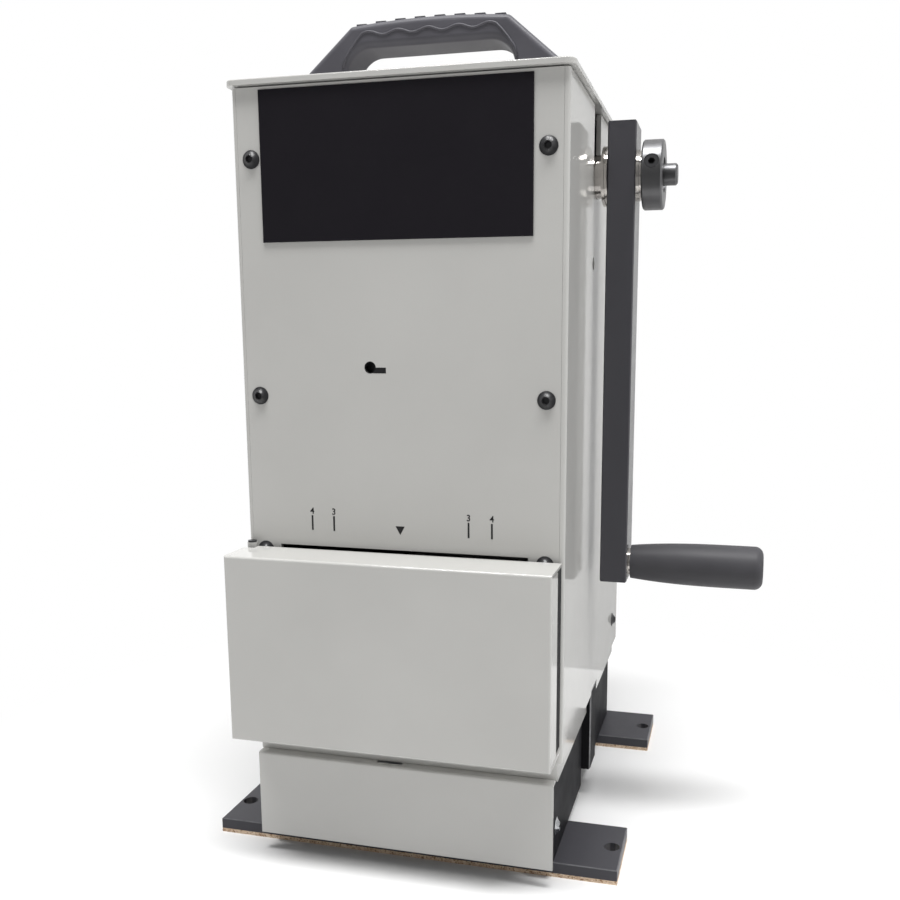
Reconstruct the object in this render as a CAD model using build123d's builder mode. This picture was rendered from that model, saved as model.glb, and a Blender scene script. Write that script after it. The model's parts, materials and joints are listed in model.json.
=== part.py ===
from build123d import *
import math
import os

# Hand-cranked hard drive crusher, in millimetres.
# Origin: centre of the four bench-bolt holes, on the surface that it stands on.
# +X is the crank side, -Y is the front with the drive door, +Z is up.

os.makedirs("parts", exist_ok=True)

# Housing
body_width = 179.0
body_depth = 229.7
body_top = 426.4
cover_bottom = 70.0
cover_t = 2.7
cover_gap = 2.8
panel_t = 2.7
panel_side_gap = 0.1
lid_t = 3.0
lid_overhang = 2.7
lid_corner_r = 5.0
lid_gap = 0.8
lid_edge_r = 0.8
edge_r = 2.2

# Frame and feet
plate_t = 9.5
foot_length = 239.0
foot_width = 48.2
foot_t = 6.35
cork_t = 2.3
foot_hole_end = 6.0
foot_hole_r = 4.4
foot_edge = 0.5
front_to_foot_holes = 30.75
rear_to_foot_holes = 22.05
beam_width = 22.0
beam_bottom = 19.0
beam_top = 72.0
beam_bevel = 1.8
steel_edge = 0.8

# Press line, crank and gear train, measured back from the front face
press_from_front = 115.0
crank_from_front = 91.0
crank_z = 386.0
travel = 47.2
pressure_angle = math.radians(25)
gear_module = 2.5
pinion_teeth = 12
gear_teeth = 56
rack_module = 3.0
rack_teeth = 12
gear_t = 12.0
gear_x = 41.0
gear_hub_r = 21.0
gear_hub_l = 22.0
gear_window_r = 14.0
gear_window_count = 5
backlash = 0.16
crank_shaft_r = 9.525
main_shaft_r = 11.0
fit = 0.05
slide_gap = 0.15

# Ram, wedge and anvil
ram_w = 30.0
ram_d = 24.0
ram_bottom = 198.0
ram_top = 400.0
wedge_w = 70.0
wedge_h = 14.0
wedge_shoulder_h = 3.0
wedge_land = 2.0
wedge_spigot_r = 6.0
wedge_spigot_l = 22.0
wedge_pin_r = 2.5
anvil_margin = 14.5
anvil_d = 84.0
anvil_top = 118.0
anvil_v_top = 60.0
anvil_v_floor = 18.0
anvil_v_depth = 25.0
guide_w = 52.0
guide_wall = 10.0
lower_guide_z = 200.0
lower_guide_h = 20.0
upper_guide_z = 330.0
upper_guide_h = 30.0
back_plate_from_press = 48.2
back_plate_t = 12.0
back_plate_bottom = 188.0
back_plate_top = 405.0

# Crank arm, grip and collar
arm_t = 15.9
arm_w = 25.4
arm_top_over = 27.8
grip_drop = 224.0
arm_bottom_over = 10.4
bush_proud = 4.0
bush_r = 12.0
thrust_gap = 0.2
washer_t = 1.6
washer_step = 0.8
washer_gap = 0.05
inner_washer_r = 16.5
outer_washer_r = 14.0
collar_r = 19.05
collar_l = 11.5
collar_screw_r = 3.97
collar_screw_angle = 15.0
collar_screw_sunk = 0.5
stub_r = 6.0
stub_l = 7.5
stub_edge = 1.0
arm_edge = 0.7
grip_l = 77.0
grip_cap_t = 12.0
grip_neck_r = 10.0
grip_belly_r = 12.2
grip_end_r = 12.7
grip_spindle_r = 4.0
grip_washer_t = 1.2
grip_washer_r = 8.0
grip_gap = 0.2

# Front panel features
panel_screw_rows = (178.7, 263.9, 386.8)
bay_margin = 4.3
bay_bottom = 84.0
bay_top = 182.1
peep_x = -15.3
peep_z = 279.6
peep_r = 3.0
label_margin = 16.7
label_h = 76.5
label_centre = (-0.9, 382.75)
label_t = 1.0
label_edge = 0.3

# Door and hinge
door_left_inset = 0.7
door_right_inset = 0.8
door_bottom = 77.9
door_top = 180.8
door_reach = 30.1
door_standoff = 3.0
door_sheet = 1.5
door_bend_r = 1.2
door_side_flange = 16.2
door_seam = 0.6
hinge_inset = 3.4
knuckle_r = 2.7
knuckle_count = 5
knuckle_gap = 0.3
hinge_bottom = 81.0
hinge_top = 183.0
leaf_t = 1.2
leaf_w = 13.5
hinge_pin_r = 1.5
hinge_relief = 5.0
knuckle_clearance = 0.8

# Tray under the door
tray_t = 1.5
tray_bend_r = 1.3
tray_top = 60.5
skirt_inset = 3.5
skirt_reach = 6.0
skirt_bottom = 11.0
tray_notch = (15.0, 6.5)
tray_notch_centre = (-8.0, 0.7)
tray_beam_gap = 4.0

# Carry handle
handle_from_front = 69.2
handle_t = 26.0
handle_end_inset = 14.5
handle_leg = 26.5
handle_slope = 29.5
handle_rise = 43.6
handle_end_h = 15.0
handle_arch = 2.2
handle_gap_h = 28.6
handle_gap_r = 14.0
handle_end_r = 10.0
handle_corner_r = 4.0
handle_rim_r = 3.5
handle_rib_count = 8
handle_rib_share = 0.52
handle_rib_margin = 2.5
handle_rib_h = 0.9

# Button-head socket screws; the shares are parts of the head or shank size
screw_head_r = 4.75
screw_head_h = 2.5
screw_shank_r = 2.4
screw_shank_l = 12.0
dome_rim_share = 0.12
dome_crown_share = 0.42
dome_bulge_share = 0.06
socket_share = 0.8
socket_depth_share = 0.6
hole_clearance = 0.15

# Derived places
foot_hole_dx = foot_length - 2 * foot_hole_end
foot_hole_dy = body_depth - front_to_foot_holes - rear_to_foot_holes
y_front = -(foot_hole_dy / 2 + front_to_foot_holes)
y_rear = y_front + body_depth
y_plate_front = y_front + panel_t
y_plate_rear = y_rear - cover_t
half_w = body_width / 2
cover_in = half_w - cover_t
plate_out = cover_in - cover_gap
plate_in = plate_out - plate_t
plate_mid = plate_out - plate_t / 2
panel_screw_x = plate_mid
bay_half_w = plate_in - bay_margin
label_w = body_width - 2 * label_margin
anvil_w = 2 * (plate_in - anvil_margin)
bush_end = half_w + bush_proud
door_left = door_left_inset - half_w
door_right = half_w - door_right_inset
hinge_x = hinge_inset - half_w
skirt_half_w = half_w - skirt_inset
foot_top = cork_t + foot_t
lid_bottom = body_top - lid_t
cover_top = lid_bottom - lid_gap
panel_bottom = tray_top + panel_side_gap
panel_half_w = cover_in - panel_side_gap
beam_half = beam_width / 2
press_y = y_front + press_from_front
back_plate_y = press_y + back_plate_from_press
crank_y = y_front + crank_from_front
ram_front = press_y - ram_d / 2
rack_pitch_y = ram_front + rack_module
rack_r = rack_module * rack_teeth / 2
main_y = rack_pitch_y - rack_r
pinion_r = gear_module * pinion_teeth / 2
gear_r = gear_module * gear_teeth / 2
centre_distance = pinion_r + gear_r
main_z = crank_z - math.sqrt(centre_distance**2 - (crank_y - main_y) ** 2)
mesh_angle = math.degrees(math.atan2(crank_z - main_z, crank_y - main_y))
screw_hole_r = screw_shank_r + hole_clearance


def front_plane(y):
    """Upright plane at a depth, seen from the front: sketch x is X and sketch y is Z."""
    return Plane.XZ.offset(-y)


def side_plane(x):
    """Upright plane at an X, seen from +X: sketch x is Y and sketch y is Z."""
    return Plane.YZ.offset(x)


def button_screw(head_r, head_h, shank_r, shank_l):
    """Make a button-head screw with its domed head on the XY plane and its shank below."""
    rim = (head_r, dome_rim_share * head_h)
    crown = (dome_crown_share * head_r, head_h)
    with BuildPart() as screw:
        with BuildSketch(Plane.XZ):
            with BuildLine():
                SagittaArc(crown, rim, -dome_bulge_share * head_r)
                Polyline(rim, (head_r, 0), (0, 0), (0, head_h), crown)
            make_face()
        revolve(axis=Axis.Z)
        with BuildSketch(Plane.XY.offset(head_h)):
            RegularPolygon(socket_share * shank_r, 6)
        extrude(amount=-socket_depth_share * head_h, mode=Mode.SUBTRACT)
        with BuildSketch(Plane.XY):
            Circle(shank_r)
        extrude(amount=-shank_l)
    return screw.part


def flat_screw(shank_r, shank_l):
    """Make a countersunk screw whose head lies just below the XY plane."""
    with BuildPart() as screw:
        with BuildSketch(Plane.XY):
            Circle(2 * shank_r)
        extrude(amount=-shank_r, taper=45)
        with BuildSketch(Plane.XY):
            Circle(shank_r)
        extrude(amount=-shank_l)
    return screw.part


def cap_screw(shank_r, shank_l, head_r, head_h):
    """Make a socket-head cap screw with its head on the XY plane and its shank below."""
    with BuildPart() as screw:
        with BuildSketch(Plane.XY):
            Circle(head_r)
        extrude(amount=head_h)
        with BuildSketch(Plane.XY):
            Circle(shank_r)
        extrude(amount=-shank_l)
        with BuildSketch(Plane.XY.offset(head_h)):
            RegularPolygon(socket_share * shank_r, 6)
        extrude(amount=-shank_r, mode=Mode.SUBTRACT)
    return screw.part


def round_hole(seat, radius, depth):
    """Cut a round hole down from a seat plane."""
    with Locations(seat):
        Hole(radius, depth)


def flat_screw_hole(seat, shank_r, depth):
    """Cut the countersunk hole that a flat screw sits in."""
    hole_r = shank_r + hole_clearance
    with Locations(seat):
        CounterSinkHole(hole_r, shank_r + hole_r, depth, 90)


def gear_outline(teeth, module, first_tooth_deg):
    """Outline points of a spur gear with involute flanks and one tooth centred on an angle."""
    pitch_r = teeth * module / 2
    base_r = pitch_r * math.cos(pressure_angle)
    root_r = pitch_r - 1.25 * module
    tip_r = pitch_r + module
    half_pitch = math.pi / (2 * teeth) - backlash / (2 * pitch_r)

    def involute(angle):
        return math.tan(angle) - angle

    def half_angle(radius):
        at_radius = math.acos(base_r / max(radius, base_r))
        return half_pitch + involute(pressure_angle) - involute(at_radius)

    rising = [(root_r, -half_angle(root_r)), (pitch_r, -half_angle(pitch_r)), (tip_r, -half_angle(tip_r))]
    tooth = rising + [(radius, -angle) for radius, angle in reversed(rising)]
    outline = []
    for index in range(teeth):
        middle = math.radians(first_tooth_deg) + index * 2 * math.pi / teeth
        for radius, angle in tooth:
            outline.append((radius * math.cos(middle + angle), radius * math.sin(middle + angle)))
    return outline


# Seats of the fasteners
panel_screw_seats = []
rear_screw_seats = []
for x in (-panel_screw_x, panel_screw_x):
    for z in panel_screw_rows:
        panel_screw_seats.append(Plane((x, y_front, z), z_dir=(0, -1, 0)))
        rear_screw_seats.append(Plane((x, y_rear, z), z_dir=(0, 1, 0)))

cover_screw_from_rear = 28.2
cover_screw_rows = (91.4, 240.0, 389.0)
cover_screw_seats = []
for side in (-1, 1):
    for z in cover_screw_rows:
        seat_point = (side * half_w, y_rear - cover_screw_from_rear, z)
        cover_screw_seats.append(Plane(seat_point, z_dir=(side, 0, 0)))

lid_screw_inset = 30.0
lid_screw_seats = []
for x in (-panel_screw_x, panel_screw_x):
    for y in (y_front + lid_screw_inset, y_rear - lid_screw_inset):
        lid_screw_seats.append(Plane((x, y, body_top), z_dir=(0, 0, 1)))

frame_screw_r = 4.0
frame_screw_l = 24.0
frame_screw_rows = (205.0, 300.0, 392.0)
frame_screw_seats = []
for side in (-1, 1):
    for z in frame_screw_rows:
        seat_point = (side * plate_out, back_plate_y + back_plate_t / 2, z)
        frame_screw_seats.append(Plane(seat_point, z_dir=(side, 0, 0)))

foot_screw_r = 3.0
foot_screw_l = 18.0
foot_screw_pitch = 26.0
foot_screw_seats = []
for x in (-plate_mid, plate_mid):
    for foot_y in (-foot_hole_dy / 2, foot_hole_dy / 2):
        for step in (-0.5, 0.5):
            seat_point = (x, foot_y + step * foot_screw_pitch, cork_t)
            foot_screw_seats.append(Plane(seat_point, z_dir=(0, 0, -1)))

tray_bolt_from_front = 14.0
tray_bolt_z = 26.5
tray_bolt_r = 3.0
tray_bolt_head_r = 4.9
tray_bolt_head_h = 2.4
tray_nut_r = 5.2
tray_nut_t = 4.0
tray_bolt_over = 5.0
tray_flange_x = plate_in - panel_side_gap
tray_bolt_grip = plate_out - tray_flange_x + tray_t
tray_bolt_seats = []
for side in (-1, 1):
    seat_point = (side * plate_out, y_front + tray_bolt_from_front, tray_bolt_z)
    tray_bolt_seats.append(Plane(seat_point, z_dir=(side, 0, 0)))

anvil_screw_x = 40.0
anvil_screw_r = 4.0
anvil_screw_head_r = 6.5
anvil_screw_head_h = 8.0
anvil_screw_l = 36.0
anvil_floor = anvil_top - anvil_v_depth
anvil_screw_seats = []
for x in (-anvil_screw_x, anvil_screw_x):
    anvil_screw_seats.append(Plane((x, press_y, anvil_floor - anvil_screw_head_h), z_dir=(0, 0, 1)))

guide_screw_x = 17.0
guide_screw_r = 3.0
guide_screw_head_r = 5.0
guide_screw_head_h = 6.0
guide_screw_l = 28.0
guide_heights = (lower_guide_z + lower_guide_h / 2, upper_guide_z + upper_guide_h / 2)
guide_screw_seats = []
for x in (-guide_screw_x, guide_screw_x):
    for z in guide_heights:
        guide_screw_seats.append(Plane((x, back_plate_y + back_plate_t, z), z_dir=(0, 1, 0)))

handle_y = y_front + handle_from_front
handle_half_l = half_w - handle_end_inset
handle_gap_half = handle_half_l - handle_leg
handle_top_half = handle_half_l - handle_slope
handle_screw_x = handle_half_l - handle_leg / 2
handle_screw_seats = []
for x in (-handle_screw_x, handle_screw_x):
    handle_screw_seats.append(Plane((x, handle_y, lid_bottom), z_dir=(0, 0, -1)))

hinge_screw_r = 1.5
hinge_screw_l = 3.6
hinge_screw_head_r = 2.5
hinge_screw_head_h = 0.9
hinge_leaf_right = hinge_x + leaf_w
hinge_screw_inset = 4.0
hinge_screw_x = hinge_leaf_right - hinge_screw_inset
hinge_screw_rows = (92.0, 127.0, 162.0)
hinge_screw_seats = []
for z in hinge_screw_rows:
    hinge_screw_seats.append(Plane((hinge_screw_x, y_front - leaf_t, z), z_dir=(0, -1, 0)))

panel_screw = button_screw(screw_head_r, screw_head_h, screw_shank_r, screw_shank_l)

# Feet
for foot, foot_y in (("front", -foot_hole_dy / 2), ("rear", foot_hole_dy / 2)):
    with BuildPart() as foot_bar:
        with BuildSketch(Plane.XY.offset(cork_t)):
            with Locations((0, foot_y)):
                Rectangle(foot_length, foot_width)
                with GridLocations(foot_hole_dx, 0, 2, 1):
                    Circle(foot_hole_r, mode=Mode.SUBTRACT)
        extrude(amount=foot_t)
        chamfer(foot_bar.faces().sort_by(Axis.Z)[-1].outer_wire().edges(), foot_edge)
        for seat in foot_screw_seats:
            if abs(seat.origin.Y - foot_y) < foot_width / 2:
                flat_screw_hole(seat, foot_screw_r, foot_t)
    foot_bar.part.label = f"{foot}_foot_bar"
    export_step(foot_bar.part, f"parts/{foot}_foot_bar.step")

    with BuildPart() as cork_pad:
        with BuildSketch(Plane.XY):
            with Locations((0, foot_y)):
                Rectangle(foot_length, foot_width)
                with GridLocations(foot_hole_dx, 0, 2, 1):
                    Circle(foot_hole_r, mode=Mode.SUBTRACT)
        extrude(amount=cork_t)
    cork_pad.part.label = f"{foot}_cork_pad"
    export_step(cork_pad.part, f"parts/{foot}_cork_pad.step")

foot_screw = flat_screw(foot_screw_r, foot_screw_l)
with BuildPart() as foot_screws:
    with Locations(*foot_screw_seats):
        add(foot_screw)
foot_screws.part.label = "foot_screws"
export_step(foot_screws.part, "parts/foot_screws.step")

# Side plates of the frame, standing on the feet and slotted for the anvil beam
crank_bush_flange_r = 16.0
crank_bush_flange_t = 2.5
main_bush_r = 14.0
plate_depth = y_plate_rear - y_plate_front
for side, side_name in ((-1, "left"), (1, "right")):
    with BuildPart() as side_plate:
        with BuildSketch(side_plane(min(side * plate_in, side * plate_out))):
            with Locations((y_plate_front, foot_top)):
                Rectangle(plate_depth, lid_bottom - foot_top, align=(Align.MIN, Align.MIN))
            with Locations((press_y, foot_top)):
                Rectangle(beam_width, beam_top - foot_top,
                          align=(Align.CENTER, Align.MIN), mode=Mode.SUBTRACT)
            with Locations((crank_y, crank_z)):
                Circle(bush_r + fit, mode=Mode.SUBTRACT)
            with Locations((main_y, main_z)):
                Circle(main_bush_r + fit, mode=Mode.SUBTRACT)
        extrude(amount=plate_t)
        outer_face = side_plate.faces().filter_by(Axis.X).sort_by(Axis.X)[-1 if side > 0 else 0]
        upright_edges = outer_face.edges().filter_by(Axis.Z)
        slot_edges = [edge for edge in upright_edges if abs(edge.center().Y - press_y) < beam_half + fit]
        chamfer(slot_edges, beam_bevel)
        for seat in panel_screw_seats:
            if seat.origin.X * side > 0:
                round_hole(Plane((seat.origin.X, y_plate_front, seat.origin.Z), z_dir=(0, -1, 0)),
                           screw_hole_r, screw_shank_l)
        for seat in rear_screw_seats:
            if seat.origin.X * side > 0:
                round_hole(Plane((seat.origin.X, y_plate_rear, seat.origin.Z), z_dir=(0, 1, 0)),
                           screw_hole_r, screw_shank_l)
        for seat in cover_screw_seats:
            if seat.origin.X * side > 0:
                round_hole(Plane((side * plate_out, seat.origin.Y, seat.origin.Z), z_dir=(side, 0, 0)),
                           screw_hole_r, plate_t)
        for seat in lid_screw_seats:
            if seat.origin.X * side > 0:
                round_hole(Plane((seat.origin.X, seat.origin.Y, lid_bottom), z_dir=(0, 0, 1)),
                           screw_hole_r, screw_shank_l)
        for seat in frame_screw_seats:
            if seat.origin.X * side > 0:
                flat_screw_hole(seat, frame_screw_r, plate_t)
        for seat in foot_screw_seats:
            if seat.origin.X * side > 0:
                round_hole(Plane((seat.origin.X, seat.origin.Y, foot_top), z_dir=(0, 0, -1)),
                           foot_screw_r + hole_clearance, foot_screw_l)
        for seat in tray_bolt_seats:
            if seat.origin.X * side > 0:
                round_hole(seat, tray_bolt_r + hole_clearance, plate_t)
    side_plate.part.label = f"{side_name}_side_plate"
    export_step(side_plate.part, f"parts/{side_name}_side_plate.step")

# Anvil beam through both plates, and the grooved anvil block on it
with BuildPart() as anvil_beam:
    with BuildSketch(side_plane(-half_w)):
        with Locations((press_y, beam_bottom)):
            Rectangle(beam_width, beam_top - beam_bottom, align=(Align.CENTER, Align.MIN))
    extrude(amount=body_width)
    chamfer(anvil_beam.faces().filter_by(Axis.X).edges(), steel_edge)
    for seat in anvil_screw_seats:
        round_hole(Plane((seat.origin.X, press_y, beam_top), z_dir=(0, 0, 1)),
                   anvil_screw_r + hole_clearance, anvil_screw_l)
anvil_beam.part.label = "anvil_beam"
export_step(anvil_beam.part, "parts/anvil_beam.step")

with BuildPart() as anvil_block:
    with BuildSketch(side_plane(-anvil_w / 2)):
        with BuildLine():
            Polyline(
                (press_y - anvil_d / 2, beam_top),
                (press_y - anvil_d / 2, anvil_top),
                (press_y - anvil_v_top / 2, anvil_top),
                (press_y - anvil_v_floor / 2, anvil_floor),
                (press_y + anvil_v_floor / 2, anvil_floor),
                (press_y + anvil_v_top / 2, anvil_top),
                (press_y + anvil_d / 2, anvil_top),
                (press_y + anvil_d / 2, beam_top),
                close=True,
            )
        make_face()
    extrude(amount=anvil_w)
    for seat in anvil_screw_seats:
        round_hole(seat.offset(anvil_screw_head_h), anvil_screw_head_r + hole_clearance, anvil_screw_head_h)
        round_hole(seat, anvil_screw_r + hole_clearance, seat.origin.Z - beam_top)
anvil_block.part.label = "anvil_block"
export_step(anvil_block.part, "parts/anvil_block.step")

anvil_screw = cap_screw(anvil_screw_r, anvil_screw_l, anvil_screw_head_r, anvil_screw_head_h)
with BuildPart() as anvil_screws:
    with Locations(*anvil_screw_seats):
        add(anvil_screw)
anvil_screws.part.label = "anvil_screws"
export_step(anvil_screws.part, "parts/anvil_screws.step")

# Folded tray with its front skirt and side flanges
tray_front = y_front - skirt_reach
tray_apron_rear = y_plate_front - panel_side_gap
tray_rear = press_y - beam_half - tray_beam_gap
tray_flange_front = -foot_hole_dy / 2 - foot_width / 2
with BuildPart() as base_tray:
    with BuildSketch(Plane.XY.offset(tray_top - tray_t)):
        with Locations((0, tray_front)):
            Rectangle(2 * skirt_half_w, tray_apron_rear - tray_front, align=(Align.CENTER, Align.MIN))
            Rectangle(2 * tray_flange_x, tray_rear - tray_front, align=(Align.CENTER, Align.MIN))
        with Locations((tray_notch_centre[0], y_front + tray_notch_centre[1])):
            Rectangle(*tray_notch, mode=Mode.SUBTRACT)
    extrude(amount=tray_t)
    with BuildSketch(front_plane(tray_front + tray_t)):
        with Locations((0, skirt_bottom)):
            Rectangle(2 * skirt_half_w, tray_top - skirt_bottom, align=(Align.CENTER, Align.MIN))
    extrude(amount=tray_t)
    for side in (-1, 1):
        with BuildSketch(side_plane(min(side * tray_flange_x, side * (tray_flange_x - tray_t)))):
            with Locations((tray_flange_front, foot_top)):
                Rectangle(foot_width, tray_top - foot_top, align=(Align.MIN, Align.MIN))
        extrude(amount=tray_t)
    top_edges = base_tray.edges().filter_by(Axis.X).group_by(Axis.Z)[-1]
    fillet(top_edges.sort_by(Axis.Y)[0], tray_bend_r)
    for seat in tray_bolt_seats:
        round_hole(seat, tray_bolt_r + hole_clearance, tray_bolt_grip)
base_tray.part.label = "base_tray"
export_step(base_tray.part, "parts/base_tray.step")

tray_bolt = button_screw(tray_bolt_head_r, tray_bolt_head_h, tray_bolt_r, tray_bolt_grip + tray_bolt_over)
with BuildPart() as tray_bolts:
    with Locations(*tray_bolt_seats):
        add(tray_bolt)
    for seat in tray_bolt_seats:
        with BuildSketch(seat.offset(-tray_bolt_grip)):
            RegularPolygon(tray_nut_r, 6)
        extrude(amount=-tray_nut_t)
tray_bolts.part.label = "tray_bolts"
export_step(tray_bolts.part, "parts/tray_bolts.step")

# Front panel with the drive slot and the ready window
with BuildPart() as front_panel:
    with BuildSketch(front_plane(y_plate_front)):
        with Locations((0, panel_bottom)):
            Rectangle(2 * panel_half_w, cover_top - panel_bottom, align=(Align.CENTER, Align.MIN))
        with Locations((0, (bay_bottom + bay_top) / 2)):
            Rectangle(2 * bay_half_w, bay_top - bay_bottom, mode=Mode.SUBTRACT)
        with Locations((peep_x, peep_z)):
            Circle(peep_r, mode=Mode.SUBTRACT)
        with Locations(*[(seat.origin.X, seat.origin.Z) for seat in panel_screw_seats]):
            Circle(screw_hole_r, mode=Mode.SUBTRACT)
        with Locations(*[(seat.origin.X, seat.origin.Z) for seat in hinge_screw_seats]):
            Circle(hinge_screw_r + hole_clearance, mode=Mode.SUBTRACT)
    extrude(amount=panel_t)
front_panel.part.label = "front_panel"
export_step(front_panel.part, "parts/front_panel.step")

with BuildPart() as front_panel_screws:
    with Locations(*panel_screw_seats):
        add(panel_screw)
front_panel_screws.part.label = "front_panel_screws"
export_step(front_panel_screws.part, "parts/front_panel_screws.step")

with BuildPart() as label_plate:
    with BuildSketch(front_plane(y_front)):
        with Locations(label_centre):
            Rectangle(label_w, label_h)
    extrude(amount=label_t)
    chamfer(label_plate.faces().sort_by(Axis.Y)[0].edges(), label_edge)
label_plate.part.label = "label_plate"
export_step(label_plate.part, "parts/label_plate.step")

# Side covers, rear cover and their fasteners
sight_hole = (-36.7, 337.0)
sight_hole_r = 3.7
bush_slot_gap = 0.3
cover_slot_r = bush_r + bush_slot_gap
beam_notch_gap = 0.5
beam_notch_h = beam_top + beam_notch_gap - cover_bottom
for side, side_name in ((-1, "left"), (1, "right")):
    with BuildPart() as side_cover:
        with BuildSketch(side_plane(min(side * cover_in, side * half_w))):
            with Locations((y_front, cover_bottom)):
                Rectangle(body_depth, cover_top - cover_bottom, align=(Align.MIN, Align.MIN))
            with Locations((press_y, cover_bottom)):
                Rectangle(beam_width + 2 * beam_notch_gap, beam_notch_h,
                          align=(Align.CENTER, Align.MIN), mode=Mode.SUBTRACT)
            if side > 0:
                with Locations((crank_y, crank_z)):
                    Circle(cover_slot_r, mode=Mode.SUBTRACT)
                    Rectangle(2 * cover_slot_r, cover_top - crank_z,
                              align=(Align.CENTER, Align.MIN), mode=Mode.SUBTRACT)
                with Locations(sight_hole):
                    Circle(sight_hole_r, mode=Mode.SUBTRACT)
            with Locations(*[(seat.origin.Y, seat.origin.Z) for seat in cover_screw_seats[:3]]):
                Circle(screw_hole_r, mode=Mode.SUBTRACT)
        extrude(amount=cover_t)
        outer_face = side_cover.faces().filter_by(Axis.X).sort_by(Axis.X)[-1 if side > 0 else 0]
        upright_edges = outer_face.edges().filter_by(Axis.Z).sort_by(Axis.Y)
        fillet([upright_edges[0], upright_edges[-1]], edge_r)
    side_cover.part.label = f"{side_name}_side_cover"
    export_step(side_cover.part, f"parts/{side_name}_side_cover.step")

# Rails that close the gap between plate and cover along the bottom, ahead of and behind the beam
rail_bottom = 58.5
rail_h = 19.0
rail_beam_gap = 2.0
rail_spans = (
    (y_plate_front, press_y - beam_half - rail_beam_gap),
    (press_y + beam_half + rail_beam_gap, y_plate_rear),
)
with BuildPart() as cover_rails:
    for rail_x in (plate_out, -cover_in):
        with BuildSketch(side_plane(rail_x)):
            for span_front, span_rear in rail_spans:
                with Locations((span_front, rail_bottom)):
                    Rectangle(span_rear - span_front, rail_h, align=(Align.MIN, Align.MIN))
        extrude(amount=cover_gap)
cover_rails.part.label = "cover_rails"
export_step(cover_rails.part, "parts/cover_rails.step")

spacer_r = 6.0
with BuildPart() as cover_spacers:
    for seat in cover_screw_seats:
        with BuildSketch(seat.offset(-cover_t)):
            Circle(spacer_r)
            Circle(screw_hole_r, mode=Mode.SUBTRACT)
        extrude(amount=-cover_gap)
cover_spacers.part.label = "cover_spacers"
export_step(cover_spacers.part, "parts/cover_spacers.step")

with BuildPart() as cover_screws:
    with Locations(*cover_screw_seats):
        add(panel_screw)
cover_screws.part.label = "cover_screws"
export_step(cover_screws.part, "parts/cover_screws.step")

with BuildPart() as rear_cover:
    with BuildSketch(front_plane(y_rear)):
        with Locations((0, cover_bottom)):
            Rectangle(2 * panel_half_w, cover_top - cover_bottom, align=(Align.CENTER, Align.MIN))
        with Locations(*[(seat.origin.X, seat.origin.Z) for seat in rear_screw_seats]):
            Circle(screw_hole_r, mode=Mode.SUBTRACT)
    extrude(amount=cover_t)
rear_cover.part.label = "rear_cover"
export_step(rear_cover.part, "parts/rear_cover.step")

with BuildPart() as rear_cover_screws:
    with Locations(*rear_screw_seats):
        add(panel_screw)
rear_cover_screws.part.label = "rear_cover_screws"
export_step(rear_cover_screws.part, "parts/rear_cover_screws.step")

# Lid and carry handle
with BuildPart() as top_lid:
    with BuildSketch(Plane.XY.offset(lid_bottom)):
        with Locations((0, (y_front + y_rear) / 2)):
            RectangleRounded(body_width + 2 * lid_overhang, body_depth + 2 * lid_overhang, lid_corner_r)
        for seat in lid_screw_seats + handle_screw_seats:
            with Locations((seat.origin.X, seat.origin.Y)):
                Circle(screw_hole_r, mode=Mode.SUBTRACT)
    extrude(amount=lid_t)
    fillet(top_lid.faces().sort_by(Axis.Z)[-1].outer_wire().edges(), lid_edge_r)
top_lid.part.label = "top_lid"
export_step(top_lid.part, "parts/top_lid.step")

with BuildPart() as lid_screws:
    with Locations(*lid_screw_seats):
        add(panel_screw)
lid_screws.part.label = "lid_screws"
export_step(lid_screws.part, "parts/lid_screws.step")

handle_base = body_top
handle_crown = handle_base + handle_rise - handle_rib_h
handle_shoulder = handle_crown - handle_arch
handle_end_z = handle_base + handle_end_h
handle_gap_z = handle_base + handle_gap_h
arch_r = (handle_top_half**2 + handle_arch**2) / (2 * handle_arch)
rib_pitch = 2 * (handle_top_half - handle_rib_margin) / (handle_rib_count - 1 + handle_rib_share)
rib_w = handle_rib_share * rib_pitch
with BuildPart() as carry_handle:
    with BuildSketch(front_plane(handle_y)) as handle_outline:
        with BuildLine():
            arch = ThreePointArc(
                (-handle_top_half, handle_shoulder), (0, handle_crown), (handle_top_half, handle_shoulder)
            )
            Polyline(
                arch @ 1,
                (handle_half_l, handle_end_z),
                (handle_half_l, handle_base),
                (handle_gap_half, handle_base),
                (handle_gap_half, handle_gap_z),
                (-handle_gap_half, handle_gap_z),
                (-handle_gap_half, handle_base),
                (-handle_half_l, handle_base),
                (-handle_half_l, handle_end_z),
                arch @ 0,
            )
        make_face()
        for corner_z, corner_r in (
            (handle_end_z, handle_end_r),
            (handle_gap_z, handle_gap_r),
            (handle_shoulder, handle_corner_r),
        ):
            corners = [vertex for vertex in handle_outline.vertices() if abs(vertex.Y - corner_z) < fit]
            fillet(corners, corner_r)
    extrude(amount=handle_t / 2, both=True)
    side_faces = carry_handle.faces().filter_by(Axis.Y)
    rim_edges = [edge for edge in side_faces.edges() if edge.center().Z > handle_base + fit]
    fillet(rim_edges, handle_rim_r)
    with BuildSketch(front_plane(handle_y)):
        for index in range(handle_rib_count):
            rib_x = (index - (handle_rib_count - 1) / 2) * rib_pitch
            rib_z = handle_crown - arch_r + math.sqrt(arch_r**2 - rib_x**2)
            with Locations((rib_x, rib_z)):
                Rectangle(rib_w, 2 * handle_rib_h)
    extrude(amount=handle_t / 2 - handle_rim_r, both=True)
    for seat in handle_screw_seats:
        round_hole(Plane((seat.origin.X, handle_y, handle_base), z_dir=(0, 0, -1)),
                   screw_hole_r, screw_shank_l)
carry_handle.part.label = "carry_handle"
export_step(carry_handle.part, "parts/carry_handle.step")

with BuildPart() as handle_screws:
    with Locations(*handle_screw_seats):
        add(panel_screw)
handle_screws.part.label = "handle_screws"
export_step(handle_screws.part, "parts/handle_screws.step")

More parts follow.
